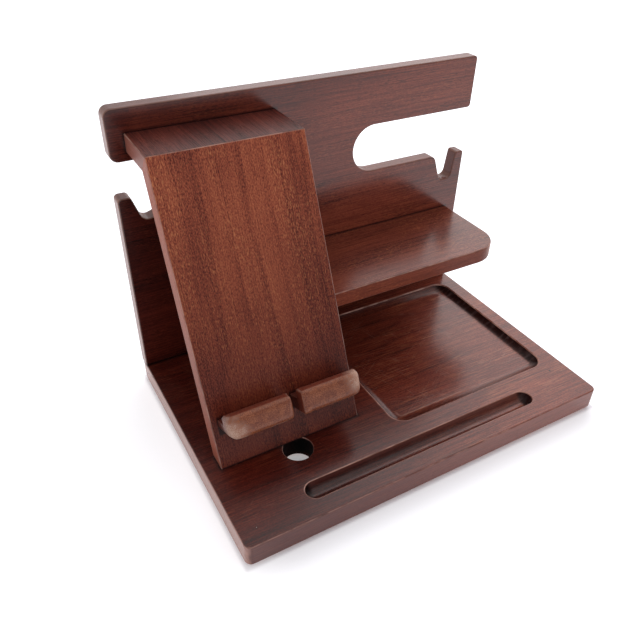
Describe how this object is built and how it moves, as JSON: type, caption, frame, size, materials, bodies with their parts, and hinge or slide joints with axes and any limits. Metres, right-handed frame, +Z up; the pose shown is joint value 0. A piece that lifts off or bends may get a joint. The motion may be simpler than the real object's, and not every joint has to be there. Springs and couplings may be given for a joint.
{
  "type": "charging station organizer",
  "caption": "Wooden desktop charging station organizer with a leaning phone stand on ledges, a tray, a pen groove, a shelf, a watch slot and key hooks.",
  "frame": {"origin": "on the floor under the middle of the base, at the underside of the rubber feet", "axes": "+X along the base to the right as seen from the front, +Y towards the back panel, +Z up"},
  "size_m": [0.25, 0.1694, 0.1869],
  "materials": {
    "base_wood": "reddish brown stain under glossy lacquer",
    "panel_wood": "reddish brown stain under satin lacquer",
    "stand_wood": "reddish brown stain under satin lacquer",
    "shelf_wood": "reddish brown stain under satin lacquer",
    "ledge_wood": "lighter brown stain, rubbed at the rounded ends",
    "dowel_wood": "unfinished pale beech",
    "screw_steel": "yellowish zinc plate",
    "pad_rubber": "matt black"
  },
  "bodies": {
    "root": {"base_board": "base_wood", "back_panel": "panel_wood", "phone_board": "stand_wood", "top_board": "stand_wood", "left_ledge": "ledge_wood", "right_ledge": "ledge_wood", "shelf": "shelf_wood", "mitre_spline": "dowel_wood", "left_ledge_dowels": "dowel_wood", "right_ledge_dowels": "dowel_wood", "panel_screws": "screw_steel", "stand_screws": "screw_steel", "shelf_screws": "screw_steel", "top_board_screws": "screw_steel", "foot_front_left": "pad_rubber", "foot_front_right": "pad_rubber", "foot_back_left": "pad_rubber", "foot_back_right": "pad_rubber"}
  },
  "joints": []
}
